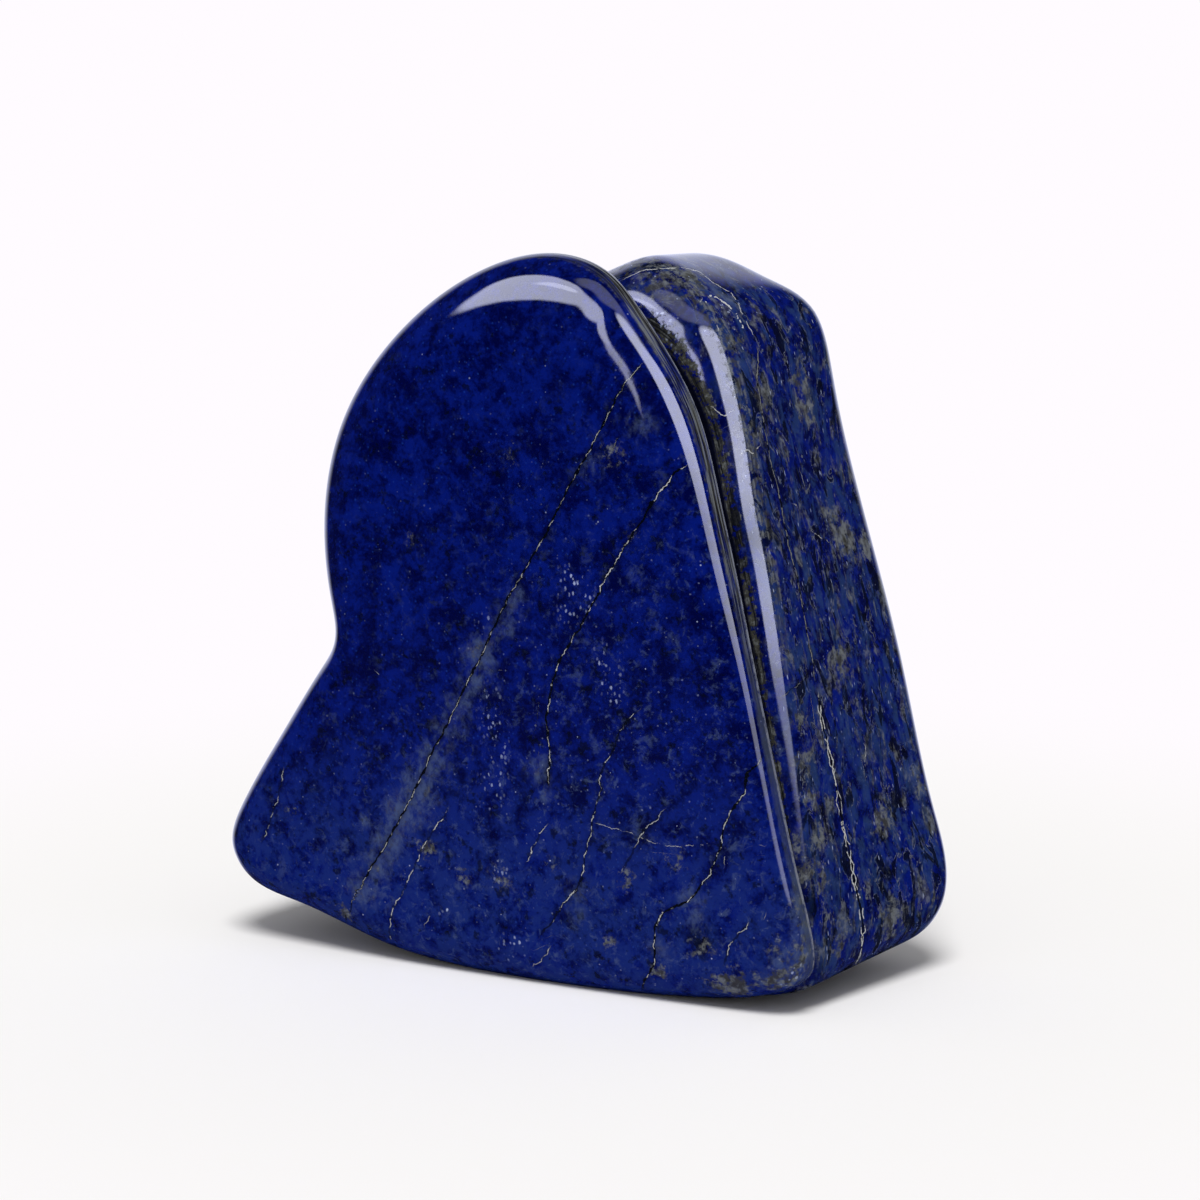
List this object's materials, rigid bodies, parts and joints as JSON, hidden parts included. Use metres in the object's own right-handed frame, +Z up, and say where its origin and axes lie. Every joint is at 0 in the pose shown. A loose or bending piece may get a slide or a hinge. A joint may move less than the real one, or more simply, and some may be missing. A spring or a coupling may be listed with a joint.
{
  "type": "polished lapis lazuli freeform",
  "caption": "Hand-sized polished freeform of deep blue lapis lazuli with fine veins, an open seam behind its front layer and a notch in its left side; stands on a small flat spot.",
  "frame": {"origin": "middle of the bounding box at floor level", "axes": "+Z up as the stone stands on its flat spot; -Y the broad flat front face, +Y the gently convex back; +X the narrow side on the right that shows the open seam"},
  "size_m": [0.095, 0.041, 0.0959],
  "materials": {
    "lapis": "polished"
  },
  "bodies": {
    "root": {"stone": "lapis"}
  },
  "joints": []
}
